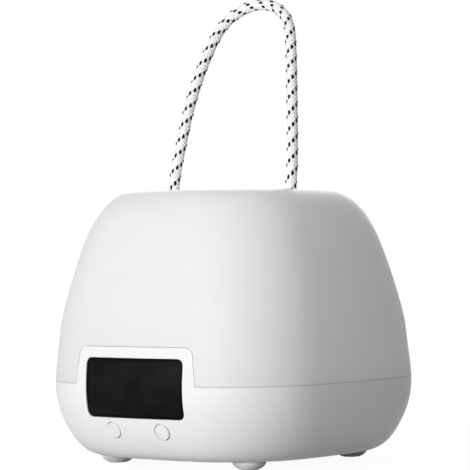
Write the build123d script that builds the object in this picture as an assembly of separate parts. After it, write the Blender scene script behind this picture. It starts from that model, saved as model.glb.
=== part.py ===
from build123d import *
import math
import os

# Night light clock with a rope handle. Millimetres, +Z up, front towards -Y.
# The origin is on the table, under the middle of the body.

# Body: one moulded form, a square with bowed sides and round corners at every height
body_half_width = 57.5
foot_height = 2.2
parting_height = 29.7
body_height = 97.4
shell_wall = 2.4
side_bow_share = 3.5
# Shares of the height, of the half width, and of the corner radius to the half width
base_level_shares = [
    (0.0, 0.60, 0.66),
    (0.025, 0.715, 0.66),
    (0.115, 0.849, 0.655),
    (0.295, 0.917, 0.65),
    (0.6, 0.978, 0.635),
]
shade_level_shares = [
    (0.0, 1.0, 0.62),
    (0.25, 0.976, 0.63),
    (0.5, 0.919, 0.65),
    (0.7, 0.85, 0.66),
    (0.85, 0.777, 0.675),
    (0.95, 0.692, 0.69),
    (0.985, 0.637, 0.695),
    (1.0, 0.574, 0.70),
]

# Clearances and cuts
seam_gap = 0.2
fit_gap = 0.15
slide_gap = 0.3
glue_gap = 0.05
overrun = 1.0

# Shade lip that plugs into the base
lip_depth = 2.0
lip_inset = 1.25

# Front tab, window and display
window_width = 43.9
window_height = 21.0
window_corner = 2.4
window_drop = 0.95
window_ledge = 1.5
pane_recess = 0.4
pane_thickness = 1.2
tab_border = 5.0
tab_taper = 1.8
tab_top_border = 3.75
tab_corner = 3.0
module_width = 39.0
module_height = 15.8
module_depth = 5.6
module_gap = 0.8
digit_height = 11.0
digit_width = 6.0
digit_stroke = 1.2
digit_depth = 0.3
digit_pitch = 8.2
colon_gap = 3.4
colon_dot_radius = 0.7
display_board_thickness = 1.6
display_board_margin = 2.0
post_radius = 1.6
post_gap = 0.3

# Buttons and their switches, along the slope of the front
button_radius = 2.95
button_spacing = 22.0
button_drop = 4.6
button_proud = 0.35
button_travel = 0.5
button_edge_radius = 0.3
button_dome_rise = 0.1
flange_gap = 1.0
flange_rim = 0.9
flange_thickness = 0.8
stem_radius = 1.6
stem_length = 0.6
plunger_radius = 1.5
plunger_length = 2.0
plunger_standout = 0.9
plunger_side_gap = 0.1
switch_side = 6.0
switch_height = 3.4
button_board_thickness = 1.2
button_board_height = 8.4
button_board_shift = 1.2
button_post_offset = 7.4

# Small screws
screw_radius = 0.75
screw_head_radius = 1.5
screw_head_height = 1.0
screw_length = 4.0
screw_slot_width = 0.5
screw_slot_depth = 0.4
screw_gap = 0.1

# Deck, lamp board and lamp chips
deck_drop = 1.0
deck_thickness = 2.0
deck_gap = 0.4
baffle_thickness = 1.6
baffle_gap = 1.5
deck_boss_radius = 3.5
deck_boss_share = 0.583
lamp_board_radius = 23.0
lamp_board_thickness = 1.6
lamp_chip_length = 3.5
lamp_chip_width = 2.8
lamp_chip_height = 0.8
lamp_ring_radius = 16.0
lamp_chip_count = 8
lamp_screw_ring_radius = 20.0
lamp_screw_count = 3

# Bottom cover, floor and feet
cover_share = 0.765
cover_corner_share = 0.66
cover_thickness = 2.8
floor_thickness = 2.0
floor_opening_gap = 2.0
floor_opening_corner = 3.0
cover_screw_share = 0.652
cover_boss_radius = 3.5
cover_boss_height = 5.0
cover_screw_head_radius = 2.6
cover_screw_head_height = 1.4
cover_screw_radius = 1.25
cover_screw_length = 7.0
cover_screw_web = 1.0
sound_hole_radius = 0.9
sound_hole_ring_radius = 4.0
sound_hole_count = 6
foot_share = 0.5235
foot_radius = 5.8
foot_flat_radius = 3.0
foot_dome_height = 2.1
foot_seat_depth = 1.5
foot_bulge = 0.35

# Main board, charging socket, sounder
board_half_width = 25.0
board_front = 4.0
board_rear_gap = 7.5
board_thickness = 1.6
board_post_height = 10.0
board_post_radius = 2.2
board_tongue_half_width = 12.0
board_tongue_gap = 1.0
board_post_places = [(20.0, 8.0), (18.0, 24.0)]
socket_width = 8.94
socket_height = 3.2
socket_length = 7.4
socket_wall = 0.3
socket_inset = 0.8
socket_gap = 0.35
contact_width = 6.7
contact_height = 0.7
contact_inset = 0.9
buzzer_radius = 6.0
buzzer_height = 8.0
buzzer_hole_radius = 1.0
buzzer_place = (-6.0, 19.0)
processor_side = 8.0
processor_height = 1.2
processor_place = (9.0, 22.0)
charger_chip_length = 5.0
charger_chip_width = 4.0
charger_chip_place = (-8.0, 38.0)
coil_side = 5.0
coil_height = 3.0
coil_place = (8.0, 38.0)
plug_width = 7.0
plug_depth = 5.0
plug_height = 4.4
plug_setback = 3.0

# Cell and cradle
cell_radius = 9.05
cell_length = 49.8
cell_cap_radius = 2.6
cell_cap_height = 1.2
cell_gap = 0.25
cell_place = -15.0
cradle_end_wall = 1.6
cradle_side_wall = 1.8
cradle_floor = 1.4
cradle_height = 10.0

# Wires held inside
wire_radius = 0.7
wire_pitch = 2.4
wire_bend = 2.4
cell_wire_height = 6.5
cell_wire_run = 5.0
lamp_wire_place = (14.0, 10.0)
lamp_wire_hole_radius = 2.6

# Rope handle: the loop's route on the right, from the exit up, then mirrored down on the left
rope_radius = 2.0
rope_hole_gap = 0.3
rope_exit = 27.1
rope_lift = rope_radius + rope_hole_gap
rope_pivot_height = body_height + rope_lift
rope_half_route = [
    (27.1, 0.0, 99.7),
    (27.0, 1.0, 105.4),
    (25.9, 2.8, 114.6),
    (24.0, 5.4, 128.6),
    (21.2, 9.1, 142.6),
    (16.9, 14.3, 157.2),
    (11.6, 16.8, 163.0),
    (4.1, 18.2, 166.2),
]
rope_route_scale = rope_exit / rope_half_route[0][0]
rope_bend_share = 0.45
knot_radius = 4.5
knot_flat_share = 0.85
rope_tail = 8.0

# Sizes that follow
base_height = parting_height - foot_height
shade_height = body_height - parting_height
reach = body_half_width + body_height
window_center = parting_height - window_drop
window_bottom = window_center - window_height / 2
tab_half_width = window_width / 2 + tab_border
tab_top = window_center + window_height / 2 + tab_top_border
button_height = window_bottom - button_drop
cover_half_width = cover_share * body_half_width
cover_screw_place = cover_screw_share * body_half_width
foot_place = foot_share * body_half_width
cover_top = foot_height + cover_thickness
floor_top = cover_top + floor_thickness
deck_top = parting_height - deck_drop
deck_bottom = deck_top - deck_thickness
board_bottom = cover_top + board_post_height
board_top = board_bottom + board_thickness
socket_center = board_top + socket_height / 2
cell_center = cover_top + cradle_floor + cell_gap + cell_radius
cradle_length = cell_length + cell_cap_height + 2 * cell_gap + 2 * cradle_end_wall
cradle_width = 2 * (cell_radius + cell_gap + cradle_side_wall)
cover_screw_seat = cover_top - cover_screw_web
deck_boss_place = deck_boss_share * body_half_width

BOTTOM = (Align.CENTER, Align.CENTER, Align.MIN)
TOP = (Align.CENTER, Align.CENTER, Align.MAX)
FRONT = (Align.CENTER, Align.MIN, Align.MIN)


def bowed_square(half_width, corner_share):
    """A square with bowed sides and round corners, as eight tangent arcs."""
    bow = side_bow_share * half_width
    corner = corner_share * half_width
    depth = bow - half_width
    spread = bow - corner
    corner_center = (math.sqrt(2 * spread**2 - depth**2) - depth) / 2
    touch_x = bow * corner_center / spread
    touch_y = bow * (corner_center + depth) / spread - depth
    peak = corner_center + corner * math.sqrt(0.5)
    side = ThreePointArc((-touch_x, touch_y), (0, half_width), (touch_x, touch_y))
    round_corner = ThreePointArc((touch_x, touch_y), (peak, peak), (touch_y, touch_x))
    edges = []
    for turn in range(4):
        edges += [Rot(0, 0, -90 * turn) * side, Rot(0, 0, -90 * turn) * round_corner]
    return make_face(edges)


def body_levels():
    """Height, half width and corner share of each level of the body."""
    levels = [
        (foot_height + height * base_height, width * body_half_width, corner)
        for height, width, corner in base_level_shares
    ]
    levels += [
        (parting_height + height * shade_height, width * body_half_width, corner)
        for height, width, corner in shade_level_shares
    ]
    return levels


def skin(inset):
    """The body's form, moved in by a distance square to its own side profile."""
    levels = body_levels()
    last = len(levels) - 1
    sections = []
    for index, (height, width, corner) in enumerate(levels):
        low = levels[max(index - 1, 0)]
        high = levels[min(index + 1, last)]
        rise = high[0] - low[0]
        growth = high[1] - low[1]
        slope = math.hypot(rise, growth)
        inner_width = width - inset * rise / slope
        inner_height = height + inset * growth / slope
        sections.append(Pos(0, 0, inner_height) * bowed_square(inner_width, corner))
    return loft(sections)


def slab(low, high):
    """Everything between two heights."""
    return Pos(0, 0, low) * Box(2 * reach, 2 * reach, high - low, align=BOTTOM)


def front_prism(sketch):
    """An outline seen from the front, carried through the front wall."""
    start = body_half_width / 2
    return extrude(Plane.XZ.offset(start) * sketch, reach - start)


def tab_zone(grow):
    """The front tab's outline, with slanted sides and round top corners."""
    foot = parting_height - lip_depth - overrun
    wide = tab_half_width + grow
    narrow = wide - tab_taper
    top = tab_top + grow
    outline = Polyline(
        (-wide, foot),
        (wide, foot),
        (wide, parting_height),
        (narrow, top),
        (-narrow, top),
        (-wide, parting_height),
        close=True,
    )
    face = make_face(outline)
    corners = face.vertices().sort_by(Axis.Y)[-2:]
    return front_prism(fillet(corners, tab_corner + grow))


def window_zone(shrink):
    """The window's outline, carried through the front wall."""
    outline = RectangleRounded(window_width - 2 * shrink, window_height - 2 * shrink, window_corner)
    return front_prism(Pos(0, window_center) * outline)


def front_point(x, height):
    """The outer skin's point and its outward direction on the front, at a place seen from the front."""
    hits = outer.find_intersection_points(Axis((x, 0, height), (0, -1, 0)))
    return hits[-1]


def rear_skin(height):
    """How far back the outer skin lies on the rear's middle line."""
    hits = outer.find_intersection_points(Axis((0, 0, height), (0, 1, 0)))
    return hits[-1][0].Y


def corner_places(place):
    """The four corners of a square, seen from above."""
    return [(sx * place, sy * place) for sx in (-1, 1) for sy in (-1, 1)]


def side_places(place):
    """The middles of the four sides of a square, seen from above."""
    return [(-place, 0), (place, 0), (0, -place), (0, place)]


def joined(pieces):
    """Solids added into one."""
    whole = pieces[0]
    for piece in pieces[1:]:
        whole += piece
    return whole


def group(pieces):
    """Separate solids kept apart in one node."""
    return Compound(children=[piece for piece in pieces])


def small_screw(place, length):
    """A slotted screw: its head stands on the place, its shank goes down."""
    head = Cylinder(screw_head_radius, screw_head_height, align=BOTTOM)
    slot = Pos(0, 0, screw_head_height - screw_slot_depth) * Box(
        2 * screw_head_radius + overrun, screw_slot_width, screw_slot_depth + overrun, align=BOTTOM
    )
    shank = Cylinder(screw_radius, length, align=TOP)
    return place * (head - slot + shank)


# The moulded form, its hollow, and the shell between them
outer = skin(0)
hollow = skin(shell_wall) & slab(floor_top, reach)
shell = outer - hollow
lip_skin = skin(lip_inset)
pane_front = skin(pane_recess)
pane_back = skin(pane_recess + pane_thickness)


# Button frame: on the slope of the front, facing out
slope_point, slope_normal = front_point(0, button_height)
button_plane = Plane(origin=slope_point, x_dir=(1, 0, 0), z_dir=(0, slope_normal.Y, slope_normal.Z))
flange_front = shell_wall + flange_gap
flange_back = flange_front + flange_thickness
stem_end = flange_back + stem_length
switch_front = stem_end + plunger_standout
switch_back = switch_front + switch_height
button_post_x = button_spacing / 2 + button_post_offset


def button_place(x, depth):
    """A place at a depth behind the front's slope."""
    return button_plane * Pos(x, 0, -depth)


def push_button(x):
    """A round piece: a domed cap just proud of the skin, a flange behind the wall and a stem."""
    skin_point = front_point(x, button_height)[0]
    crown = button_plane.to_local_coords(skin_point).Z + button_proud
    rim = crown - button_dome_rise
    flange_radius = button_radius + flange_rim
    side = Polyline(
        (0, crown),
        (0, -stem_end),
        (stem_radius, -stem_end),
        (stem_radius, -flange_back),
        (flange_radius, -flange_back),
        (flange_radius, -flange_front),
        (button_radius, -flange_front),
        (button_radius, rim),
    )
    dome = TangentArc((0, crown), (button_radius, rim), tangent=(1, 0))
    profile = make_face([side, dome])
    edge = profile.vertices().sort_by_distance((button_radius, rim))[0]
    profile = fillet(edge, button_edge_radius)
    return button_place(x, 0) * revolve(Plane.XZ * profile, Axis.Z)


def switch_plunger(x):
    """The switch's own pin, which the stem pushes."""
    return button_place(x, stem_end + plunger_length) * Cylinder(
        plunger_radius, plunger_length, align=BOTTOM
    )


def tact_switch(x):
    """A square switch body with a hole for its pin."""
    body = button_place(x, switch_back) * Box(switch_side, switch_side, switch_height, align=BOTTOM)
    hole_depth = plunger_length - plunger_standout + 2 * button_travel
    hole = button_place(x, switch_front + hole_depth) * Cylinder(
        plunger_radius + plunger_side_gap, hole_depth + overrun, align=BOTTOM
    )
    return body - hole


# Display frame: flat, behind the curved pane
module_bottom = window_center - module_height / 2
module_corner = front_point(module_width / 2, module_bottom)[0]
module_front = module_corner.Y + pane_recess + pane_thickness + module_gap
display_board_front = module_front + module_depth
display_board_back = display_board_front + display_board_thickness
post_x = window_width / 2 + post_gap + post_radius
post_z = module_height / 2 - post_radius
display_board_width = 2 * (post_x + post_radius)
display_post_places = [(sx * post_x, window_center + sz * post_z) for sx in (-1, 1) for sz in (-1, 1)]


def backward(x, height, y):
    """A place on the display board's back, facing backward."""
    return Plane(origin=(x, y, height), x_dir=(-1, 0, 0), z_dir=(0, 1, 0))


def digit(x):
    """A seven-stroke figure eight, standing in front of the module."""
    bar = digit_width - digit_stroke
    leg = digit_height / 2 - digit_stroke
    half_rise = (digit_height - digit_stroke) / 2
    crossbar = Rectangle(bar - digit_stroke / 2, digit_stroke)
    upright = Rectangle(digit_stroke, leg)
    strokes = [Pos(x, level * half_rise) * crossbar for level in (-1, 0, 1)]
    for sx in (-1, 1):
        for sy in (-1, 1):
            strokes.append(Pos(x + sx * bar / 2, sy * half_rise / 2) * upright)
    return strokes


def make_display_module():
    """The digit module: a dark block with its figures just raised."""
    block = Pos(0, module_front, module_bottom) * Box(module_width, module_depth, module_height, align=FRONT)
    first_digit = (colon_gap + digit_width) / 2
    pairs = [side * (first_digit + step * digit_pitch) for side in (-1, 1) for step in (0, 1)]
    marks = [stroke for x in pairs for stroke in digit(x)]
    marks += [Pos(0, side * digit_height / 4) * Circle(colon_dot_radius) for side in (-1, 1)]
    face = Plane(origin=(0, module_front, window_center), x_dir=(1, 0, 0), z_dir=(0, -1, 0))
    raised = [extrude(face * mark, digit_depth) for mark in marks]
    return joined([block] + raised)


def floor_opening():
    """The way through the base's floor for the cradle and the main board's posts."""
    half_width = cradle_length / 2 + floor_opening_gap
    front = cell_place - cradle_width / 2 - floor_opening_gap
    rear = max(y for x, y in board_post_places) + board_post_radius + floor_opening_gap
    outline = RectangleRounded(2 * half_width, rear - front, floor_opening_corner)
    return extrude(Pos(0, (front + rear) / 2) * outline, floor_top)


def make_base_housing():
    """The base: a bowl with the front tab, the window's seat, holes, bosses and posts."""
    below = slab(0, parting_height) + tab_zone(0)
    base = shell & below
    rebate = lip_skin & slab(parting_height - lip_depth, parting_height + overrun)
    base -= rebate - tab_zone(seam_gap)
    base -= (outer - pane_back) & window_zone(0)
    base -= window_zone(window_ledge)
    for x in (-button_spacing / 2, button_spacing / 2):
        base -= button_place(x, switch_front) * Cylinder(
            button_radius + slide_gap, switch_front + overrun, align=BOTTOM
        )
    bosses = []
    for x, height in display_post_places:
        length = display_board_front + body_half_width
        post = backward(x, height, display_board_front) * Cylinder(post_radius, length, align=TOP)
        bosses.append((post & pane_back))
    for x in (-button_post_x, button_post_x):
        post = button_place(x, switch_back) * Cylinder(post_radius, switch_back + overrun, align=BOTTOM)
        bosses.append(post & pane_back)
    deck_boss = Cylinder(deck_boss_radius, deck_bottom - cover_top, align=BOTTOM)
    bosses += [Pos(x, y, cover_top) * deck_boss for x, y in corner_places(deck_boss_place)]
    for x, y in side_places(cover_screw_place):
        bosses.append(
            Pos(x, y, cover_top)
            * Cylinder(cover_boss_radius, floor_thickness + cover_boss_height, align=BOTTOM)
        )
    base = joined([base] + bosses)
    base -= floor_opening()
    base -= extrude(bowed_square(cover_half_width + fit_gap, cover_corner_share), cover_top)
    deck_screw_hole = Cylinder(screw_radius + screw_gap, screw_length + overrun, align=TOP)
    for x, y in corner_places(deck_boss_place):
        base -= Pos(x, y, deck_bottom) * deck_screw_hole
    for x, y in side_places(cover_screw_place):
        base -= Pos(x, y, 0) * Cylinder(
            cover_screw_radius + screw_gap, cover_top + cover_screw_length, align=BOTTOM
        )
    for x, height in display_post_places:
        base -= backward(x, height, display_board_front) * Cylinder(
            screw_radius + screw_gap, screw_length, align=TOP
        )
    for x in (-button_post_x, button_post_x):
        base -= button_place(x, switch_back) * Cylinder(screw_radius + screw_gap, screw_length, align=BOTTOM)
    inlet = RectangleRounded(
        socket_width + 2 * socket_gap, socket_height + 2 * socket_gap, (socket_height + socket_gap) / 2
    )
    base -= extrude(Plane.XZ * Pos(0, socket_center) * inlet, -reach)
    return base


def make_shade():
    """The shade: a closed dome with a notch for the tab, a lip, and two rope holes."""
    dome = shell & slab(parting_height + seam_gap, reach)
    lip_zone = slab(parting_height - lip_depth, parting_height + seam_gap + overrun)
    lip = (skin(lip_inset + fit_gap) - hollow) & lip_zone
    dome = dome + lip - tab_zone(seam_gap)
    for x in (-rope_exit, rope_exit):
        dome -= Pos(x, 0, deck_top) * Cylinder(rope_radius + rope_hole_gap, reach, align=BOTTOM)
    return dome


def make_bottom_cover():
    """The cover under the base: it carries the main board's posts, the cradle and the feet."""
    cover = outer & extrude(bowed_square(cover_half_width, cover_corner_share), cover_top)
    post = Cylinder(board_post_radius, board_post_height + overrun, align=BOTTOM)
    post_hole = Cylinder(screw_radius + screw_gap, screw_length, align=TOP)
    posts = [Pos(sx * x, y, cover_top - overrun) * post for x, y in board_post_places for sx in (-1, 1)]
    cover = joined([cover] + posts)
    for x, y in board_post_places:
        for sx in (-1, 1):
            cover -= Pos(sx * x, y, board_bottom) * post_hole
    for x, y in corner_places(foot_place):
        cover -= Pos(x, y, 0) * Cylinder(foot_radius + fit_gap, foot_height + foot_seat_depth, align=BOTTOM)
    for x, y in side_places(cover_screw_place):
        cover -= Pos(x, y, 0) * Cylinder(cover_screw_head_radius + fit_gap, cover_screw_seat, align=BOTTOM)
        cover -= Pos(x, y, 0) * Cylinder(cover_screw_radius + screw_gap, reach, align=BOTTOM)
    x, y = buzzer_place
    holes = [(x, y)]
    for step in range(sound_hole_count):
        angle = 2 * math.pi * step / sound_hole_count
        across = sound_hole_ring_radius * math.cos(angle)
        along = sound_hole_ring_radius * math.sin(angle)
        holes.append((x + across, y + along))
    for hx, hy in holes:
        cover -= Pos(hx, hy, 0) * Cylinder(sound_hole_radius, reach, align=BOTTOM)
    return cover


def make_cover_screws():
    """Four screws with recessed heads that hold the cover to the base."""
    seat = cover_screw_seat
    screws = []
    for x, y in side_places(cover_screw_place):
        head = Pos(x, y, seat) * Cylinder(cover_screw_head_radius, cover_screw_head_height, align=TOP)
        slot = Pos(x, y, seat - cover_screw_head_height) * Box(
            2 * cover_screw_head_radius + overrun, screw_slot_width, 2 * screw_slot_depth
        )
        shank = Pos(x, y, seat) * Cylinder(cover_screw_radius, cover_screw_length, align=BOTTOM)
        screws.append(head - slot + shank)
    return group(screws)


def make_foot(x, y):
    """A domed rubber foot, let into the cover."""
    top = foot_height + foot_seat_depth
    profile = [
        Line((0, 0), (foot_flat_radius, 0)),
        SagittaArc((foot_flat_radius, 0), (foot_radius, foot_dome_height), -foot_bulge),
        Line((foot_radius, foot_dome_height), (foot_radius, top)),
        Line((foot_radius, top), (0, top)),
        Line((0, top), (0, 0)),
    ]
    turned = revolve(Plane.XZ * make_face(profile), Axis.Z)
    return Pos(x, y, 0) * turned


def make_window():
    """The dark pane, curved with the front and let into the tab."""
    return ((pane_front - pane_back) & window_zone(fit_gap)).translate((0, -glue_gap, 0))


def make_display_board():
    """The board that carries the digit module on four posts."""
    height = module_height + 2 * display_board_margin
    board = Pos(0, display_board_front, window_center - module_height / 2) * Box(
        display_board_width, display_board_thickness, height - display_board_margin, align=FRONT
    )
    for x, z in display_post_places:
        board -= backward(x, z, display_board_back) * Cylinder(screw_radius + screw_gap, reach / 2)
    return board


def make_button_board():
    """The sloping board that carries the two switches."""
    length = 2 * (button_post_x + 2 * post_radius)
    board = button_plane * Pos(0, -button_board_shift, -switch_back) * Box(
        length, button_board_height, button_board_thickness, align=TOP
    )
    for x in (-button_post_x, button_post_x):
        board -= button_place(x, switch_back) * Cylinder(screw_radius + screw_gap, switch_back)
    return board


def make_deck():
    """The white deck under the lamp board, with a baffle behind the display."""
    front = display_board_back + screw_head_height + baffle_gap
    plate = skin(shell_wall + deck_gap) & slab(deck_bottom, deck_top)
    plate -= Pos(0, front, 0) * Box(2 * reach, reach, reach, align=(Align.CENTER, Align.MAX, Align.MIN))
    baffle = Pos(0, front, deck_bottom) * Box(
        2 * tab_half_width, baffle_thickness, tab_top - deck_bottom, align=FRONT
    )
    deck = plate + baffle
    for x, y in corner_places(deck_boss_place):
        deck -= Pos(x, y, 0) * Cylinder(screw_radius + screw_gap, reach, align=BOTTOM)
    for x, y in lamp_screw_places():
        deck -= Pos(x, y, 0) * Cylinder(screw_radius + screw_gap, reach, align=BOTTOM)
    x, y = lamp_wire_place
    deck -= Pos(x, y, 0) * Cylinder(lamp_wire_hole_radius, deck_top, align=BOTTOM)
    return deck


def lamp_screw_places():
    """The lamp board's screws, evenly round its rim."""
    angles = [2 * math.pi * step / lamp_screw_count for step in range(lamp_screw_count)]
    return [(lamp_screw_ring_radius * math.sin(a), lamp_screw_ring_radius * math.cos(a)) for a in angles]


def make_lamp_board():
    """The round lamp board on the deck."""
    board = Pos(0, 0, deck_top) * Cylinder(lamp_board_radius, lamp_board_thickness, align=BOTTOM)
    for x, y in lamp_screw_places():
        board -= Pos(x, y, 0) * Cylinder(screw_radius + screw_gap, reach, align=BOTTOM)
    return board


def make_lamp_chips():
    """A ring of flat lamp chips."""
    top = deck_top + lamp_board_thickness
    chip = Box(lamp_chip_width, lamp_chip_length, lamp_chip_height, align=BOTTOM)
    first = Pos(lamp_ring_radius, 0, top) * chip
    return group([Rot(0, 0, 360 * step / lamp_chip_count) * first for step in range(lamp_chip_count)])


def make_main_board():
    """The main board on the cover's posts, with a tongue for the charging socket."""
    rear = body_half_width - shell_wall - board_rear_gap
    tongue_rear = rear_skin(board_bottom) - shell_wall - board_tongue_gap
    board = Pos(0, board_front, board_bottom) * Box(
        2 * board_half_width, rear - board_front, board_thickness, align=FRONT
    )
    board += Pos(0, board_front, board_bottom) * Box(
        2 * board_tongue_half_width, tongue_rear - board_front, board_thickness, align=FRONT
    )
    for x, y in board_post_places:
        for sx in (-1, 1):
            board -= Pos(sx * x, y, 0) * Cylinder(screw_radius + screw_gap, reach, align=BOTTOM)
    return board


def make_board_chips():
    """What stands on the main board: two chips, a coil and the cell's socket."""
    def block(place, length, width, height):
        return Pos(place[0], place[1], board_top) * Box(length, width, height, align=BOTTOM)

    plug = Box(plug_width, plug_depth, plug_height, align=FRONT)
    return group([
        block(processor_place, processor_side, processor_side, processor_height),
        block(charger_chip_place, charger_chip_length, charger_chip_width, processor_height),
        block(coil_place, coil_side, coil_side, coil_height),
        Pos(0, board_front + plug_setback, board_top) * plug,
    ])


def socket_outline(shrink):
    """The charging socket's oval, seen from the rear."""
    height = socket_height - 2 * shrink
    return SlotOverall(socket_width - 2 * shrink, height)


def make_socket_shell():
    """The charging socket's metal shell, open to the rear, closed inside."""
    mouth = Plane(origin=(0, socket_mouth, socket_center), x_dir=(-1, 0, 0), z_dir=(0, 1, 0))
    body = extrude(mouth * socket_outline(0), -socket_length)
    inside = extrude(mouth * socket_outline(socket_wall), socket_wall - socket_length)
    return body - inside


def make_socket_tongue():
    """The contact tongue inside the socket."""
    back = socket_mouth - socket_length + socket_wall
    return Pos(0, back, socket_center - contact_height / 2) * Box(
        contact_width, socket_length - socket_wall - contact_inset, contact_height, align=FRONT
    )


def make_buzzer():
    """The round sounder on the main board."""
    x, y = buzzer_place
    can = Pos(x, y, board_top) * Cylinder(buzzer_radius, buzzer_height, align=BOTTOM)
    hole = Cylinder(buzzer_hole_radius, buzzer_height / 2, align=TOP)
    return can - Pos(x, y, board_top + buzzer_height) * hole


def make_cell():
    """A round rechargeable cell lying across the base, with its raised end."""
    start = Plane(origin=(-(cell_length + cell_cap_height) / 2, cell_place, cell_center), z_dir=(1, 0, 0))
    can = start * Cylinder(cell_radius, cell_length, align=BOTTOM)
    cap = start * Pos(0, 0, cell_length) * Cylinder(cell_cap_radius, cell_cap_height, align=BOTTOM)
    return can + cap


def make_cradle():
    """The open cradle that the cell lies in."""
    block = Pos(0, cell_place, cover_top) * Box(cradle_length, cradle_width, cradle_height, align=BOTTOM)
    bed_length = cradle_length - 2 * cradle_end_wall
    bed_radius = cell_radius + cell_gap
    bed = Plane(origin=(0, cell_place, cell_center), z_dir=(1, 0, 0)) * Cylinder(bed_radius, bed_length)
    room = Pos(0, cell_place, cell_center) * Box(bed_length, 2 * bed_radius, reach, align=BOTTOM)
    return block - bed - room


def make_cell_leads():
    """The cell's two leads, from the cradle to their socket on the main board."""
    start = cell_place + cradle_width / 2
    low = cover_top + cell_wire_height
    high = board_top + plug_height / 2
    end = board_front + plug_setback
    leads = []
    for x in (-wire_pitch / 2, wire_pitch / 2):
        points = [
            (x, start, low),
            (x, start + cell_wire_run, low),
            (x, end - cell_wire_run, high),
            (x, end, high),
        ]
        path = FilletPolyline(*points, radius=wire_bend)
        leads.append(sweep(Plane(origin=path @ 0, z_dir=path % 0) * Circle(wire_radius), path=path))
    return group(leads)


def make_lamp_leads():
    """Two leads from the main board up through the deck to the lamp board."""
    x, y = lamp_wire_place
    return group([
        Pos(x + shift, y, board_top) * Cylinder(wire_radius, deck_top - board_top, align=BOTTOM)
        for shift in (-wire_pitch / 2, wire_pitch / 2)
    ])


def rope_bends(points):
    """The radius of the bend at each inner point of a route."""
    radii = []
    for before, here, after in zip(points, points[1:], points[2:]):
        first = here - before
        second = after - here
        half_turn = math.radians(first.get_angle(second)) / 2
        radii.append(rope_bend_share * min(first.length, second.length) / math.tan(half_turn))
    return radii


def make_handle():
    """The rope loop between its two exits, with round ends about the tipping axis."""
    shift = Vector(0, 0, rope_pivot_height) - Vector(0, 0, rope_half_route[0][2] * rope_route_scale)
    right = [Vector(*point) * rope_route_scale + shift for point in rope_half_route]
    left = [Vector(-point.X, point.Y, point.Z) for point in reversed(right)]
    route = right + left
    radii = rope_bends(route)
    print("rope bend radii", [round(radius, 1) for radius in radii])
    path = FilletPolyline(*route, radius=radii)
    start = Plane(origin=path @ 0, z_dir=path % 0)
    finish = Plane(origin=path @ 1, z_dir=path % 1)
    tube = sweep(start * Circle(rope_radius), path=path)
    print("rope length", round(path.length, 1), "mm")
    first_end = start * Sphere(rope_radius, arc_size1=-90, arc_size2=0, align=None)
    last_end = finish * Sphere(rope_radius, arc_size1=0, arc_size2=90, align=None)
    return joined([tube, first_end, last_end])


def make_rope_end(x):
    """The rope's end in its hole, with the stopper knot under the shade's top and a short tail."""
    ceiling = hollow.bounding_box().max.Z
    knot_center = ceiling - glue_gap - knot_radius * knot_flat_share
    knot = Pos(x, 0, knot_center) * scale(Sphere(knot_radius), by=(1, 1, knot_flat_share))
    length = body_height - knot_center + knot_radius + rope_tail
    rope = Pos(x, 0, body_height) * Cylinder(rope_radius, length, align=TOP)
    return knot + rope


socket_mouth = rear_skin(socket_center) - socket_inset

nodes = {
    "shade": make_shade(),
    "base_housing": make_base_housing(),
    "bottom_cover": make_bottom_cover(),
    "bottom_screws": make_cover_screws(),
    "foot_front_left": make_foot(-foot_place, -foot_place),
    "foot_front_right": make_foot(foot_place, -foot_place),
    "foot_rear_left": make_foot(-foot_place, foot_place),
    "foot_rear_right": make_foot(foot_place, foot_place),
    "display_window": make_window(),
    "display_module": make_display_module(),
    "display_board": make_display_board(),
    "display_screws": group(
        [small_screw(backward(x, z, display_board_back), screw_length) for x, z in display_post_places]
    ),
    "left_button": push_button(-button_spacing / 2),
    "right_button": push_button(button_spacing / 2),
    "left_plunger": switch_plunger(-button_spacing / 2),
    "right_plunger": switch_plunger(button_spacing / 2),
    "left_switch": tact_switch(-button_spacing / 2),
    "right_switch": tact_switch(button_spacing / 2),
    "button_board": make_button_board(),
    "button_board_screws": group([
        small_screw(button_place(x, switch_back + button_board_thickness) * Rot(180, 0, 0), screw_length)
        for x in (-button_post_x, button_post_x)
    ]),
    "deck_plate": make_deck(),
    "deck_screws": group([
        small_screw(Pos(x, y, deck_top), screw_length)
        for x, y in corner_places(deck_boss_place)
    ]),
    "led_board": make_lamp_board(),
    "led_chips": make_lamp_chips(),
    "led_board_screws": group([
        small_screw(Pos(x, y, deck_top + lamp_board_thickness), lamp_board_thickness + deck_thickness)
        for x, y in lamp_screw_places()
    ]),
    "main_board": make_main_board(),
    "board_chips": make_board_chips(),
    "board_screws": group([
        small_screw(Pos(sx * x, y, board_top), screw_length) for x, y in board_post_places for sx in (-1, 1)
    ]),
    "buzzer": make_buzzer(),
    "usb_shell": make_socket_shell(),
    "usb_tongue": make_socket_tongue(),
    "battery_cell": make_cell(),
    "battery_cradle": make_cradle(),
    "battery_leads": make_cell_leads(),
    "led_leads": make_lamp_leads(),
    "handle_rope": make_handle(),
    "rope_end_left": make_rope_end(-rope_exit),
    "rope_end_right": make_rope_end(rope_exit),
}

os.makedirs("parts", exist_ok=True)
for name, solid in nodes.items():
    export_step(solid, f"parts/{name}.step")
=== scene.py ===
# %% [markdown]
# # A night light with a clock and a braided carrying rope
# The lamp is a rounded white housing in two mouldings: a tall milky shade above a shallow base.
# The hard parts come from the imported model, already in place and in metres, so nothing is fitted by eye.
# This lesson adds what the eye and hand know the lamp by: the braid, the finishes, the light and the camera.

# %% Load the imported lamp
import math
import bpy
import numpy as np
from mathutils import Matrix, Vector


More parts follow.
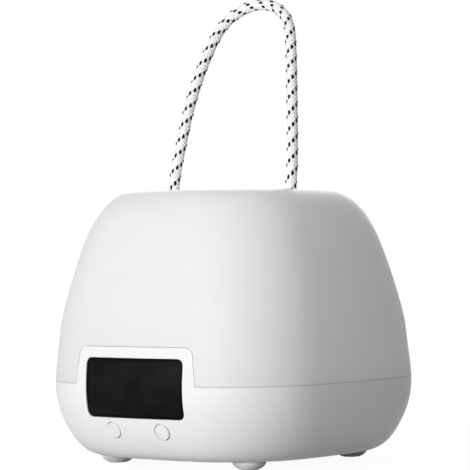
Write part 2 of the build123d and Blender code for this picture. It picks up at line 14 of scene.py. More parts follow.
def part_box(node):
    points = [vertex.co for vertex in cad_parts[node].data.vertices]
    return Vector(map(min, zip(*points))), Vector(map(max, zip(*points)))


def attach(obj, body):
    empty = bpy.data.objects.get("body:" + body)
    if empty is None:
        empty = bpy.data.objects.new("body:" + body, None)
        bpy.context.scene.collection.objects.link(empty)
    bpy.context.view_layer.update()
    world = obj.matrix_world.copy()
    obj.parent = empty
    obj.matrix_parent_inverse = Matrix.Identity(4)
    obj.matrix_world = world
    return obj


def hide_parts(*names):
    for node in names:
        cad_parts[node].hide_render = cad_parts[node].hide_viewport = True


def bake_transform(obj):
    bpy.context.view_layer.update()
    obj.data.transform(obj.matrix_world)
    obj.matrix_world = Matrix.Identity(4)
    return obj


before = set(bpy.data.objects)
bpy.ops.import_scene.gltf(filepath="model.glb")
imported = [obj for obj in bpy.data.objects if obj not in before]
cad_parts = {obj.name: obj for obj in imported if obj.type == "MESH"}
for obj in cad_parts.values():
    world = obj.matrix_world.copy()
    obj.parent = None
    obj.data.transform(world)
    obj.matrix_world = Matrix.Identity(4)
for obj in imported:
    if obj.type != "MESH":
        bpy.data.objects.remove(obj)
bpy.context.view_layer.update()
millimetre = 0.001

# %% [markdown]
# ## The camera
# A product photograph is taken from far off with a long lens, which keeps upright edges upright.
# The camera could be aimed with a tracking constraint, but a small roll would be lost that way.
# So its place, its line of sight and its roll are written down, and its axes are worked out from them.

# %% Place the camera
camera_place = Vector((0.5680, -0.7149, 0.0800))
looking = Vector((-0.6212, 0.7836, 0.0015)).normalized()
camera_roll = math.radians(-0.793)
sensor_width = 36.0
long_lens = 192.45
nearest_seen = 0.05
farthest_seen = 40.0

straight_up = Vector((0, 0, 1))
level_right = looking.cross(straight_up).normalized()
level_up = level_right.cross(looking)
camera_right = math.cos(camera_roll) * level_right + math.sin(camera_roll) * level_up
camera_up = math.cos(camera_roll) * level_up - math.sin(camera_roll) * level_right
camera_turn = Matrix((camera_right, camera_up, -looking)).transposed()

camera = bpy.data.objects.new("camera", bpy.data.cameras.new("camera"))
camera.data.sensor_width = sensor_width
camera.data.lens = long_lens
camera.data.clip_start = nearest_seen
camera.data.clip_end = farthest_seen
camera.matrix_world = Matrix.Translation(camera_place) @ camera_turn.to_4x4()
bpy.context.collection.objects.link(camera)
bpy.context.scene.camera = camera
print("camera", [round(step, 3) for step in camera_place], "lens", long_lens)

# %% [markdown]
# ## The rope's route
# The loop is one length of four-millimetre braided cord, tied off inside the shade at both ends.
# It rises out of two small holes, leans back a little and turns over at the top in one soft arch.
# The points are in millimetres and run from the right end to the top of the loop. The left half mirrors them.

# %% Choose the route's points
shell_wall = 2.4
shade_top = round(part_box("shade")[1].z / millimetre, 2)
ceiling = shade_top - shell_wall
end_low, end_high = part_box("rope_end_right")
tail_height = end_low.z / millimetre
rope_side = 27.1
inner_points = [(rope_side, 0.0, tail_height), (rope_side, 0.0, 88.0), (rope_side, 0.0, ceiling)]
outer_points = [
    (rope_side, 0.0, 99.7), (27.0, 1.0, 105.4), (25.9, 2.8, 114.6), (24.0, 5.4, 128.6),
    (21.2, 9.1, 142.6), (16.9, 14.3, 157.2), (11.6, 16.8, 163.0), (4.1, 18.2, 166.2),
]
right_half = inner_points + outer_points
left_half = [(-x, y, z) for x, y, z in right_half]
rope_route = [Vector(point) * millimetre for point in left_half + right_half[::-1]]
print("route points", len(rope_route), "shade top", shade_top, "ceiling", ceiling)

# %% [markdown]
# ## The rope's line
# A bezier would need handles for each bend. A NURBS line needs only the route's points and stays smooth.
# Its order is set after the points are there, because before that it falls back to straight runs.

# %% Draw the route as a NURBS line
rope_curve = bpy.data.curves.new("rope_line", "CURVE")
rope_curve.dimensions = "3D"
rope_curve.resolution_u = 24
spline = rope_curve.splines.new("NURBS")
spline.points.add(len(rope_route) - 1)
for point, place in zip(spline.points, rope_route):
    point.co = (*place, 1.0)
spline.order_u = 3
spline.use_endpoint_u = True
rope_line = bpy.data.objects.new("rope_line", rope_curve)
bpy.context.collection.objects.link(rope_line)
print("line of order", spline.order_u, "through", len(spline.points), "points")

# %% [markdown]
# ## Walking along the line
# Blender turns the bare line into a row of points. Yarns need more: even steps, and two side arrows at each.
# Arrows worked out from the bend alone would flip where the bend changes side.
# Carrying the arrows along and only tilting them with the line keeps them free of twist.

# %% Read the line and carry arrows along it
braid_step = 0.185 * millimetre
towards_front = np.array([0.0, -1.0, 0.0])


def read_line(curve_object):
    bare = bpy.data.meshes.new_from_object(curve_object)
    points = np.array([corner.co for corner in bare.vertices])
    bpy.data.meshes.remove(bare)
    return points


def even_steps(points, step):
    runs = np.linalg.norm(np.diff(points, axis=0), axis=1)
    along = np.concatenate([[0.0], np.cumsum(runs)])
    count = int(round(along[-1] / step)) + 1
    distances = np.linspace(0.0, along[-1], count)
    places = np.stack([np.interp(distances, along, points[:, axis]) for axis in range(3)], axis=1)
    return distances, places


def unit_rows(rows):
    return rows / np.linalg.norm(rows, axis=1)[:, None]


def carried_arrows(points):
    ahead = unit_rows(np.gradient(points, axis=0))
    side = np.zeros_like(ahead)
    arrow = towards_front
    for place, direction in enumerate(ahead):
        arrow = arrow - direction * arrow.dot(direction)
        arrow = arrow / np.linalg.norm(arrow)
        side[place] = arrow
    return side, np.cross(ahead, side)


rope_points = read_line(rope_line)
bpy.data.objects.remove(rope_line)
travelled, rope_walk = even_steps(rope_points, braid_step)
rope_side_arrows, rope_cross_arrows = carried_arrows(rope_walk)

# %% [markdown]
# ## One yarn of the braid
# Sixteen yarns make the cover: eight wind to the right and eight to the left, each over one and under one.
# A bump texture on a tube would look painted on. Here each yarn is a flat tube that rises and dives.
# Where a yarn lies on top it runs almost straight along the rope, so the black tracers show as short dashes.

# %% Shape one yarn
rope_radius = 2.0 * millimetre
yarns_each_way = 8
lead = 11.84 * millimetre
pattern_start = 10.1 * millimetre
yarn_half_depth = 0.2 * millimetre
yarn_sides = 8
rise = 0.1 * millimetre
flat_crest = 1.6
straightening = 1 / 6
second_swing = 1 / 8


def rings_along(middle, arrows, reach, cross_arrows, cross_reach, sides):
    corner_rows = []
    for corner in range(sides):
        way = 2 * math.pi * corner / sides
        beside = arrows * (reach * math.cos(way))
        corner_rows.append(middle + beside + cross_arrows * (cross_reach * math.sin(way)))
    return np.stack(corner_rows, axis=1)


def yarn_rings(hand, number, half_width, lift):
    walked = travelled - pattern_start
    beat = 2 * math.pi * walked * yarns_each_way / lead
    crest = hand * np.tanh(flat_crest * np.cos(beat)) / math.tanh(flat_crest)
    angle = hand * 2 * math.pi * walked / lead + 2 * math.pi * number / yarns_each_way
    angle = angle - straightening * (np.sin(beat) - second_swing * np.sin(2 * beat))
    outward = rope_side_arrows * np.cos(angle)[:, None] + rope_cross_arrows * np.sin(angle)[:, None]
    height = rope_radius - yarn_half_depth - rise + rise * crest + lift
    middle = rope_walk + outward * height[:, None]
    along = unit_rows(np.gradient(middle, axis=0))
    sideways = unit_rows(np.cross(along, outward))
    return rings_along(middle, sideways, half_width, outward, yarn_half_depth, yarn_sides)


# %% [markdown]
# ## The cover
# Two of the yarns that wind to the right are black tracers, a little narrower and prouder than the rest.
# The yarns could be sixteen objects, but one list of corners and faces makes them one rope.

# %% Weave sixteen yarns
yarn_half_width = 0.54 * millimetre
tracer_half_width = 0.5 * millimetre
tracer_lift = 0.15 * millimetre
tracers = (1, 5)
white, black = 0, 1
rope_corners, rope_faces, yarn_colours = [], [], []


def tube_faces(first, rings, sides):
    last = first + (rings - 1) * sides
    faces = [tuple(first + corner for corner in reversed(range(sides)))]
    faces.append(tuple(last + corner for corner in range(sides)))
    for ring in range(rings - 1):
        low = first + ring * sides
        for corner in range(sides):
            after = (corner + 1) % sides
            faces.append((low + corner, low + after, low + sides + after, low + sides + corner))
    return faces


def add_to_rope(rings, colour):
    count, sides, axes = rings.shape
    faces = tube_faces(len(rope_corners), count, sides)
    rope_corners.extend(rings.reshape(-1, axes).tolist())
    rope_faces.extend(faces)
    yarn_colours.extend([colour] * len(faces))


for hand in (1, -1):
    for number in range(yarns_each_way):
        if hand == 1 and number in tracers:
            add_to_rope(yarn_rings(hand, number, tracer_half_width, tracer_lift), black)
        else:
            add_to_rope(yarn_rings(hand, number, yarn_half_width, 0.0), white)
print("yarns", 2 * yarns_each_way, "corners", len(rope_corners))

# %% [markdown]
# ## The core and the finished rope
# Under the cover lies a plain core that keeps the rope round, and it shows only as a shade between the yarns.
# It could be left out, but then light would leak through the gaps.
# The core is smooth, so it needs only one ring for every few of the yarns' rings.

# %% Add the core and make the rope
core_radius = 1.74 * millimetre
core_sides = 12
core_stride = 8


def new_piece(name, corners, faces):
    mesh = bpy.data.meshes.new(name)
    mesh.from_pydata(corners, [], faces)
    mesh.polygons.foreach_set("use_smooth", [True] * len(faces))
    piece = bpy.data.objects.new(name, mesh)
    bpy.context.collection.objects.link(piece)
    return piece


core_rings = rings_along(rope_walk, rope_side_arrows, core_radius, rope_cross_arrows, core_radius, core_sides)
add_to_rope(core_rings[::core_stride], white)
rope = new_piece("carrying_rope", rope_corners, rope_faces)
rope.data.polygons.foreach_set("material_index", yarn_colours)
print("rope faces", len(rope_faces))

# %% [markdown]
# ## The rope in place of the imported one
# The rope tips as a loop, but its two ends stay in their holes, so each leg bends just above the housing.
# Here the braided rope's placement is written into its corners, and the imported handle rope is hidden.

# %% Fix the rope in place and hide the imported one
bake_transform(rope)
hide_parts("handle_rope")

# %% [markdown]
# ## The stopper knots
# Inside the shade each end is tied into a stopper knot that can't slip through its hole.
# A ball would do for a place nobody sees, but a wound knot is what someone finds who opens the lamp.
# One turn after another is wound over a slightly flat ball by sweeping a ring along a spiral.
# The spiral stops a little short of both poles, where its turns would run into each other.

# %% Wind the two knots
knot_radius = (end_high.x - end_low.x) / 2
knot_flat = 0.85
knot_turns = 4.0
knot_cord = 1.15 * millimetre
knot_open = 0.06
knot_rings = 220
knot_sides = 8


def wound_knot(name, middle):
    share = np.linspace(0.0, 1.0, knot_rings)
    polar = math.pi * (knot_open + (1 - 2 * knot_open) * share)
    around = 2 * math.pi * knot_turns * share
    reach = knot_radius - knot_cord
    spiral = np.stack([
        reach * np.sin(polar) * np.cos(around),
        reach * np.sin(polar) * np.sin(around),
        reach * np.cos(polar) * knot_flat,
    ], axis=1) + np.array(middle)
    side, across = carried_arrows(spiral)
    rings = rings_along(spiral, side, knot_cord, across, knot_cord, knot_sides)
    return new_piece(name, rings.reshape(-1, 3).tolist(), tube_faces(0, knot_rings, knot_sides))


knots = []
for hand_name in ("left", "right"):
    low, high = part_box("rope_end_" + hand_name)
    knot_height = ceiling * millimetre - knot_radius * knot_flat
    middle = Vector(((low.x + high.x) / 2, (low.y + high.y) / 2, knot_height))
    knot = wound_knot("stopper_knot_" + hand_name, middle)
    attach(knot, "lamp_body")
    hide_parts("rope_end_" + hand_name)
    knots.append(knot)
print("knots", [knot.name for knot in knots], "radius", round(knot_radius, 4))

# %% [markdown]
# ## A start for every finish
# Real surfaces are never one flat colour: moulded plastic has a fine grain, metal has drawn lines and yarn
# has fibres. Pictures could supply that, but nodes work at any size and need no file.
# Each finish starts as a plain shader with its own colour and gloss, and the grain is added to it.

# %% Start a finish and put it on
stood_for_by_rope = {"handle_rope", "rope_end_left", "rope_end_right"}
still_bare = set(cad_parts) - stood_for_by_rope


def shader_of(material):
    return material.node_tree.nodes["Principled BSDF"]


def finish(name, colour, roughness, specular, metallic=0.0):
    material = bpy.data.materials.new(name)
    material.use_nodes = True
    shader = shader_of(material)
    shader.inputs["Base Color"].default_value = (*colour, 1.0)
    shader.inputs["Roughness"].default_value = roughness
    shader.inputs["Specular IOR Level"].default_value = specular
    shader.inputs["Metallic"].default_value = metallic
    return material


def dress(material, *names):
    for name in names:
        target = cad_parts[name]
        target.data.materials.clear()
        target.data.materials.append(material)
        still_bare.discard(name)
    print(material.name, "on", len(names), "nodes")


print("nodes that need a finish", len(still_bare))

# %% [markdown]
# ## Grain from noise
# A mould, a drawing die and a spinning wheel each leave a grain, and noise of the right size stands for it.
# The noise is read in the part's own place, in metres, so a grain keeps its size on every piece.
# Most of a noise lies near its middle, so a ramp spreads that middle over the range that is wanted.

# %% Make the grain
grain_low = 0.3
grain_high = 0.7


def feed(tree, socket, value):
    if isinstance(value, bpy.types.NodeSocket):
        tree.links.new(value, socket)
    else:
        socket.default_value = value


def map_range(tree, value, from_low, from_high, to_low=0.0, to_high=1.0, steps="LINEAR"):
    ramp = tree.nodes.new("ShaderNodeMapRange")
    ramp.interpolation_type = steps
    settings = {
        "Value": value, "From Min": from_low, "From Max": from_high, "To Min": to_low, "To Max": to_high,
    }
    for socket, setting in settings.items():
        feed(tree, ramp.inputs[socket], setting)
    return ramp.outputs["Result"]


def grain(material, size, detail=2.0, stretch=(1, 1, 1)):
    tree = material.node_tree
    place = tree.nodes.new("ShaderNodeTexCoord")
    mapping = tree.nodes.new("ShaderNodeMapping")
    mapping.inputs["Scale"].default_value = stretch
    texture = tree.nodes.new("ShaderNodeTexNoise")
    texture.inputs["Scale"].default_value = 1.0 / size
    texture.inputs["Detail"].default_value = detail
    tree.links.new(place.outputs["Object"], mapping.inputs["Vector"])
    tree.links.new(mapping.outputs["Vector"], texture.inputs["Vector"])
    return texture.outputs["Fac"]


print("grain is spread from", grain_low, "to", grain_high)

# %% [markdown]
# ## Colour, gloss and relief
# One grain can drive three things: the colour, the gloss and the fine relief of a surface.
# Each gets a grain of its own size here, because a stain, a worn patch and a mould's texture never coincide.

# %% Put grain into colour, gloss and relief
def tint(material, value, dark, light):
    tree = material.node_tree
    ramp = tree.nodes.new("ShaderNodeValToRGB")
    dark_end, light_end = ramp.color_ramp.elements
    dark_end.position = grain_low
    dark_end.color = (*dark, 1.0)
    light_end.position = grain_high
    light_end.color = (*light, 1.0)
    tree.links.new(value, ramp.inputs["Fac"])
    tree.links.new(ramp.outputs["Color"], shader_of(material).inputs["Base Color"])


def gloss(material, value, smoothest, roughest):
    tree = material.node_tree
    roughness = map_range(tree, value, grain_low, grain_high, smoothest, roughest)
    tree.links.new(roughness, shader_of(material).inputs["Roughness"])


def relief(material, value, height, strength):
    tree = material.node_tree
    bump = tree.nodes.new("ShaderNodeBump")
    bump.inputs["Strength"].default_value = strength
    bump.inputs["Distance"].default_value = height
    tree.links.new(value, bump.inputs["Height"])
    tree.links.new(bump.outputs["Normal"], shader_of(material).inputs["Normal"])


print("grain drives", [use.__name__ for use in (tint, gloss, relief)])

# %% [markdown]
# ## The milky shade
# The shade is moulded in white plastic that lets some light through, with a fine satin skin from the mould.
# Glossy plastic would mirror the room. A high roughness with a very fine relief gives the soft look.
# A part of the light passes through the wall, which softens the edge between light and shade.

# %% Shade plastic
light_let_through = 0.3
shade_plastic = finish("shade_plastic", colour=(0.9, 0.9, 0.897), roughness=0.5, specular=0.35)
shade_tone = grain(shade_plastic, 9 * millimetre, detail=3.0)
tint(shade_plastic, shade_tone, dark=(0.892, 0.892, 0.89), light=(0.906, 0.906, 0.903))
gloss(shade_plastic, grain(shade_plastic, 2.5 * millimetre), smoothest=0.47, roughest=0.55)
relief(shade_plastic, grain(shade_plastic, 0.18 * millimetre), height=0.004 * millimetre, strength=0.6)


def mix_surfaces(tree, share, first, second):
    mix = tree.nodes.new("ShaderNodeMixShader")
    feed(tree, mix.inputs["Fac"], share)
    tree.links.new(first, mix.inputs[1])
    tree.links.new(second, mix.inputs[2])
    return mix.outputs[0]


shade_tree = shade_plastic.node_tree
through = shade_tree.nodes.new("ShaderNodeBsdfTranslucent")
through.inputs["Color"].default_value = (0.95, 0.95, 0.95, 1.0)
milky = mix_surfaces(shade_tree, light_let_through, shader_of(shade_plastic).outputs[0], through.outputs[0])
shade_tree.links.new(milky, shade_tree.nodes["Material Output"].inputs["Surface"])
dress(shade_plastic, "shade")

# %% [markdown]
# ## The base plastic
# The base, its cover and the two buttons are moulded in a solid white, a touch darker than the milky one.
# The shade's finish could serve here too, but it lets light through and the base doesn't.
# The grain is slightly coarser here, as a spark-eroded mould leaves it.

# %% Base plastic
base_plastic = finish("base_plastic", colour=(0.845, 0.845, 0.842), roughness=0.5, specular=0.35)
base_tone = grain(base_plastic, 7 * millimetre, detail=3.0)
tint(base_plastic, base_tone, dark=(0.835, 0.835, 0.832), light=(0.85, 0.85, 0.847))
gloss(base_plastic, grain(base_plastic, 2.0 * millimetre), smoothest=0.46, roughest=0.56)
relief(base_plastic, grain(base_plastic, 0.22 * millimetre), height=0.005 * millimetre, strength=0.6)
dress(base_plastic, "base_housing", "bottom_cover", "left_button", "right_button")

# %% [markdown]
# ## The border of the window
# The pane over the clock has a blacker border printed on its back, and the field inside is a little lighter.
# The border could be a second piece, but print has no thickness, so it is measured out in the finish.
# A point's distance from the pane's middle, across and upwards, says whether it lies in the border.

# %% Measure out the border
window_low, window_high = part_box("display_window")
window_middle = (window_low + window_high) / 2
border_starts = 0.3 * millimetre
border_ends = 1.3 * millimetre


def math_node(tree, operation, first, second=0.0):
    node = tree.nodes.new("ShaderNodeMath")
    node.operation = operation
    feed(tree, node.inputs[0], first)
    feed(tree, node.inputs[1], second)
    return node.outputs[0]


def inside_border(tree):
    place = tree.nodes.new("ShaderNodeTexCoord")
    split = tree.nodes.new("ShaderNodeSeparateXYZ")
    tree.links.new(place.outputs["Object"], split.inputs["Vector"])
    inside = []
    for axis in (0, 2):
        half = (window_high[axis] - window_low[axis]) / 2
        offset = math_node(tree, "SUBTRACT", split.outputs[axis], window_middle[axis])
        distance = math_node(tree, "ABSOLUTE", offset)
        inside.append(map_range(tree, distance, half - border_starts, half - border_ends, steps="SMOOTHSTEP"))
    return math_node(tree, "MINIMUM", *inside)


print("window", [round(side, 4) for side in window_high - window_low], "border", border_ends)

# %% [markdown]
# ## The dark window
# The clock shows through a tinted pane that looks black while the clock is off.
# A pane of real glass would mirror the room, so this one gets a low reflection and a little roughness.
# Faint clouds in the field hint at the display behind it.

# %% Tinted window
cloud_dim = 0.45
cloud_bright = 0.72
window_tint = finish("window_tint", colour=(0.011, 0.011, 0.012), roughness=0.35, specular=0.04)
window_tree = window_tint.node_tree
window_cloud = grain(window_tint, 9 * millimetre, detail=1.0)
clouds = map_range(window_tree, window_cloud, grain_low, grain_high, cloud_dim, cloud_bright)
field = math_node(window_tree, "MULTIPLY", inside_border(window_tree), clouds)
tint(window_tint, field, dark=(0.0012, 0.0012, 0.0014), light=(0.0075, 0.0075, 0.008))
gloss(window_tint, grain(window_tint, 0.6 * millimetre), smoothest=0.33, roughest=0.37)
dress(window_tint, "display_window")

# %% [markdown]
# ## The feet
# Four small rubber domes keep the lamp from sliding.
# Rubber could be plain grey, but it is dull and picks up dust, so it is mottled and rough.

# %% Foot rubber
foot_rubber = finish("foot_rubber", colour=(0.76, 0.76, 0.75), roughness=0.75, specular=0.25)
dust = grain(foot_rubber, 1.6 * millimetre, detail=4.0)
tint(foot_rubber, dust, dark=(0.72, 0.72, 0.71), light=(0.8, 0.8, 0.79))
relief(foot_rubber, grain(foot_rubber, 0.3 * millimetre), height=0.02 * millimetre, strength=0.7)
dress(foot_rubber, "foot_front_left", "foot_front_right", "foot_rear_left", "foot_rear_right")

# %% [markdown]
# ## The yarns
# The cover is spun polyester, white with two black tracers. Up close each yarn is a bundle of fine fibres.
# Fibres could be modelled one by one, but a fine grain in colour and relief carries them at this size.
# White fibres stand off the yarn and catch the light from the side, which the sheen gives.

# %% White and black yarn
sheen_weight = 0.7
sheen_roughness = 0.5


def yarn(name, dark, light):
    cloth = finish(name, colour=light, roughness=0.8, specular=0.1)
    tint(cloth, grain(cloth, 0.25 * millimetre), dark, light)
    relief(cloth, grain(cloth, 0.15 * millimetre), height=0.008 * millimetre, strength=0.5)
    return cloth


white_yarn = yarn("white_yarn", dark=(0.95, 0.95, 0.948), light=(0.985, 0.985, 0.983))
shader_of(white_yarn).inputs["Sheen Weight"].default_value = sheen_weight
shader_of(white_yarn).inputs["Sheen Roughness"].default_value = sheen_roughness
black_yarn = yarn("black_yarn", dark=(0.003, 0.003, 0.0035), light=(0.009, 0.009, 0.01))
rope.data.materials.append(white_yarn)
rope.data.materials.append(black_yarn)
for knot in knots:
    knot.data.materials.append(white_yarn)
print("yarn finishes", white_yarn.name, black_yarn.name)

# %% [markdown]
# ## Screws and the charging socket
# Screws are zinc-plated steel and the socket's sleeve is nickel. Plating is bright but no perfect mirror.
# Scratches could be drawn one by one. Noise that is stretched along one axis gives fine drawn lines at once.

# %% Plated steel and nickel
plated_steel = finish("plated_steel", colour=(0.62, 0.62, 0.62), roughness=0.32, specular=0.5, metallic=1.0)
steel_lines = grain(plated_steel, 0.25 * millimetre, stretch=(1, 1, 8))
gloss(plated_steel, steel_lines, smoothest=0.24, roughest=0.42)
tint(plated_steel, grain(plated_steel, 1.2 * millimetre), dark=(0.55, 0.55, 0.55), light=(0.66, 0.66, 0.665))
dress(plated_steel, "bottom_screws", "display_screws", "button_board_screws", "deck_screws",
      "led_board_screws", "board_screws")

socket_nickel = finish("socket_nickel", colour=(0.74, 0.73, 0.7), roughness=0.22, specular=0.5, metallic=1.0)
nickel_lines = grain(socket_nickel, 0.2 * millimetre, stretch=(1, 10, 1))
gloss(socket_nickel, nickel_lines, smoothest=0.16, roughest=0.3)
tint(socket_nickel, grain(socket_nickel, 0.8 * millimetre), dark=(0.69, 0.68, 0.65), light=(0.78, 0.77, 0.74))
dress(socket_nickel, "usb_shell")

# %% [markdown]
# ## The circuit boards
# Nobody sees the inside while the lamp is whole, but it is also taken apart, so each piece gets a finish.
# Circuit boards are green under a glossy lacquer, with copper paths that show as paler lines.
# The paths could be drawn as curves. A fine brick pattern is a quick stand-in for them.

# %% Circuit board lacquer
board_green = (0.02, 0.13, 0.055)
board_deep_green = (0.018, 0.115, 0.05)
path_green = (0.05, 0.24, 0.11)
path_spacing = 3 * millimetre
path_width = 0.03
board_lacquer = finish("board_lacquer", colour=board_green, roughness=0.28, specular=0.5)
board_tree = board_lacquer.node_tree
board_place = board_tree.nodes.new("ShaderNodeTexCoord")
paths = board_tree.nodes.new("ShaderNodeTexBrick")
paths.inputs["Color1"].default_value = (*board_green, 1.0)
paths.inputs["Color2"].default_value = (*board_deep_green, 1.0)
paths.inputs["Mortar"].default_value = (*path_green, 1.0)
paths.inputs["Scale"].default_value = 1.0 / path_spacing
paths.inputs["Mortar Size"].default_value = path_width
board_tree.links.new(board_place.outputs["Object"], paths.inputs["Vector"])
board_tree.links.new(paths.outputs["Color"], shader_of(board_lacquer).inputs["Base Color"])
gloss(board_lacquer, grain(board_lacquer, 1.5 * millimetre), smoothest=0.22, roughest=0.34)
dress(board_lacquer, "display_board", "button_board", "main_board")

# %% [markdown]
# ## The lamp board and its chips
# The board that carries the light is lacquered white, to throw light up into the shade.
# Its chips are yellow with phosphor powder set in resin.
# A flat yellow would look like paint, so it is grainy and not quite level.

# %% White lacquer and yellow phosphor
lamp_lacquer = finish("lamp_lacquer", colour=(0.82, 0.82, 0.8), roughness=0.3, specular=0.5)
lacquer_tone = grain(lamp_lacquer, 5 * millimetre, detail=3.0)
tint(lamp_lacquer, lacquer_tone, dark=(0.8, 0.8, 0.78), light=(0.84, 0.84, 0.82))
dress(lamp_lacquer, "led_board")

phosphor = finish("phosphor", colour=(0.82, 0.66, 0.16), roughness=0.42, specular=0.45)
powder = grain(phosphor, 0.35 * millimetre, detail=3.0)
tint(phosphor, powder, dark=(0.74, 0.57, 0.1), light=(0.86, 0.7, 0.2))
relief(phosphor, grain(phosphor, 0.2 * millimetre), height=0.02 * millimetre, strength=0.5)
dress(phosphor, "led_chips")

# %% [markdown]
# ## The dark mouldings
# Switches, chips, the buzzer and the cell's cradle are small mouldings in black plastic.
# Pure black would swallow their shape, so they are dark grey with a fine relief that catches some light.

# %% Dark plastic
dark_plastic = finish("dark_plastic", colour=(0.025, 0.025, 0.027), roughness=0.55, specular=0.4)
dark_tone = grain(dark_plastic, 3 * millimetre, detail=3.0)
tint(dark_plastic, dark_tone, dark=(0.02, 0.02, 0.022), light=(0.032, 0.032, 0.034))
relief(dark_plastic, grain(dark_plastic, 0.2 * millimetre), height=0.006 * millimetre, strength=0.6)
dress(dark_plastic, "display_module", "left_switch", "right_switch", "board_chips", "buzzer", "usb_tongue",
      "battery_cradle", "left_plunger", "right_plunger")

# %% [markdown]
# ## The reflector deck
# The deck over the boards is a white moulding that throws stray light back up.
# It could share the base's finish, but a hidden part comes from a plainer mould and is a little duller.

# %% Inner plastic
inner_plastic = finish("inner_plastic", colour=(0.8, 0.8, 0.79), roughness=0.55, specular=0.35)
inner_tone = grain(inner_plastic, 6 * millimetre, detail=3.0)
tint(inner_plastic, inner_tone, dark=(0.78, 0.78, 0.77), light=(0.82, 0.82, 0.81))
relief(inner_plastic, grain(inner_plastic, 0.3 * millimetre), height=0.006 * millimetre, strength=0.6)
dress(inner_plastic, "deck_plate")

# %% [markdown]
# ## The cell and its wires
# The cell is shrink-wrapped in blue film, and red wires join it and the light to the main board.
# Film wrinkles as it shrinks. Folds could be modelled, but a stretched grain in the relief is enough here.

# %% Cell wrap and wire
cell_wrap = finish("cell_wrap", colour=(0.07, 0.19, 0.42), roughness=0.25, specular=0.5)
film_tone = grain(cell_wrap, 4 * millimetre, stretch=(1, 6, 6))
tint(cell_wrap, film_tone, dark=(0.06, 0.17, 0.38), light=(0.085, 0.215, 0.46))
film_folds = grain(cell_wrap, 1.4 * millimetre, stretch=(0.3, 1, 1))
relief(cell_wrap, film_folds, height=0.03 * millimetre, strength=0.5)
dress(cell_wrap, "battery_cell")

wire_cover = finish("wire_cover", colour=(0.42, 0.035, 0.025), roughness=0.45, specular=0.45)
tint(wire_cover, grain(wire_cover, 1.0 * millimetre), dark=(0.37, 0.03, 0.02), light=(0.46, 0.045, 0.03))
dress(wire_cover, "battery_leads", "led_leads")
print("nodes still without a finish", len(still_bare))

# %% [markdown]
# ## The floor
# The lamp stands on a plain pale floor that goes on into a white background.
# A curved backdrop would do as well, but a floor that reaches far past the view needs no curve.

# %% Pale floor
floor_reach = 9.0
floor_corners = [
    (-floor_reach, -floor_reach, 0), (floor_reach, -floor_reach, 0),
    (floor_reach, floor_reach, 0), (-floor_reach, floor_reach, 0),
]
floor_mesh = bpy.data.meshes.new("floor")
floor_mesh.from_pydata(floor_corners, [], [(0, 1, 2, 3)])
floor = bpy.data.objects.new("floor", floor_mesh)
bpy.context.collection.objects.link(floor)
floor_white = finish("floor_white", colour=(0.48, 0.48, 0.48), roughness=0.9, specular=0.0)
floor_mesh.materials.append(floor_white)
print("floor", 2 * floor_reach, "metres across")

# %% [markdown]
# ## A floor that looks white
# More light would turn the floor white but wash out the lamp, so the floor is white only as the eye meets it.
# A part of the true lit floor is kept in the mix near the lamp, and with it the lamp's shadow.

# %% White to the eye, with the shadow kept
glow_strength = 1.1
shadow_reach = (0.12, 0.5)
white_share = (0.86, 1.0)


def seen_directly(tree):
    path = tree.nodes.new("ShaderNodeLightPath")
    seen = path.outputs["Is Camera Ray"]
    for kind in ("Is Glossy Ray", "Is Transmission Ray"):
        seen = math_node(tree, "MAXIMUM", seen, path.outputs[kind])
    return seen


floor_tree = floor_white.node_tree
glow = floor_tree.nodes.new("ShaderNodeEmission")
glow.inputs["Strength"].default_value = glow_strength
floor_place = floor_tree.nodes.new("ShaderNodeTexCoord")
from_lamp = floor_tree.nodes.new("ShaderNodeVectorMath")
from_lamp.operation = "LENGTH"
floor_tree.links.new(floor_place.outputs["Object"], from_lamp.inputs[0])
whiteness = map_range(floor_tree, from_lamp.outputs["Value"], *shadow_reach, *white_share)
seen_white = math_node(floor_tree, "MULTIPLY", seen_directly(floor_tree), whiteness)
floor_look = mix_surfaces(floor_tree, seen_white, shader_of(floor_white).outputs[0], glow.outputs[0])
floor_tree.links.new(floor_look, floor_tree.nodes["Material Output"].inputs["Surface"])
print("white share of the floor from", white_share[0], "to", white_share[1])

# %% [markdown]
# ## The room's fill light
# Light that comes from all sides keeps the dark side from going black.
# More soft boxes could give it, but the world does it evenly.
# To the eye and in reflections the world is plain white, like the floor.

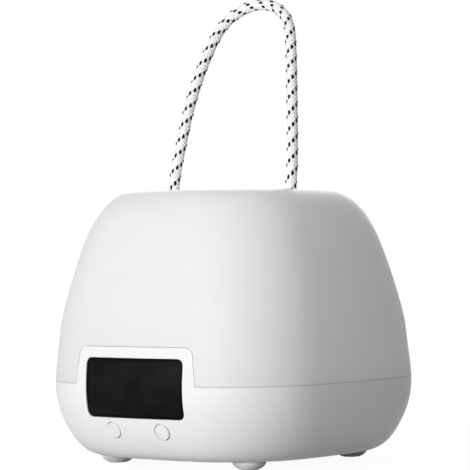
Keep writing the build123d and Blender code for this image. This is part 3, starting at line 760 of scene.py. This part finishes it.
# %% World
fill_strength = 0.03
plain_white = (1.0, 1.0, 1.0, 1.0)
world = bpy.data.worlds.new("room")
world.use_nodes = True
bpy.context.scene.world = world
room_tree = world.node_tree
fill = room_tree.nodes["Background"]
fill.inputs["Color"].default_value = plain_white
fill.inputs["Strength"].default_value = fill_strength
backdrop = room_tree.nodes.new("ShaderNodeBackground")
backdrop.inputs["Color"].default_value = plain_white
backdrop.inputs["Strength"].default_value = 1.0
room_look = mix_surfaces(room_tree, seen_directly(room_tree), fill.outputs[0], backdrop.outputs[0])
room_tree.links.new(room_look, room_tree.nodes["World Output"].inputs["Surface"])
print("fill", fill_strength)

# %% [markdown]
# ## The studio lights
# A small soft box in front draws the edge between the bright front and the shaded side.
# A wide one beside it fills the front. Weak ones from the side and from above round off the form.
# One behind lights the back.
# A point light would draw a hard edge. A wide area light gives the soft corner that a satin surface shows.

# %% Soft boxes
box_distance = 1.5
small_box = 0.4
wide_box = 0.8
lamp_middle = Vector((0.0, 0.0, 0.06))


def soft_box(name, azimuth, elevation, size, power):
    turn = math.radians(azimuth)
    lift = math.radians(elevation)
    away = Vector((math.sin(turn) * math.cos(lift), -math.cos(turn) * math.cos(lift), math.sin(lift)))
    light = bpy.data.lights.new(name, "AREA")
    light.shape = "SQUARE"
    light.size = size
    light.energy = power
    stand = bpy.data.objects.new(name, light)
    stand.location = lamp_middle + box_distance * away
    stand.rotation_euler = away.to_track_quat("Z", "Y").to_euler()
    bpy.context.collection.objects.link(stand)


soft_box("key_box", azimuth=-15, elevation=8, size=small_box, power=7.0)
soft_box("front_box", azimuth=10, elevation=8, size=wide_box, power=16.5)
soft_box("side_box", azimuth=100, elevation=35, size=wide_box, power=2.0)
soft_box("top_box", azimuth=0, elevation=90, size=wide_box, power=4.6)
soft_box("back_box", azimuth=211, elevation=22, size=wide_box, power=16.0)
print("soft boxes", len(bpy.data.lights))

# %% [markdown]
# ## Showing colours as written
# The picture is shown without any film look, so that a colour comes out as it is written.

# %% Set the view transform
bpy.context.scene.view_settings.view_transform = "Standard"
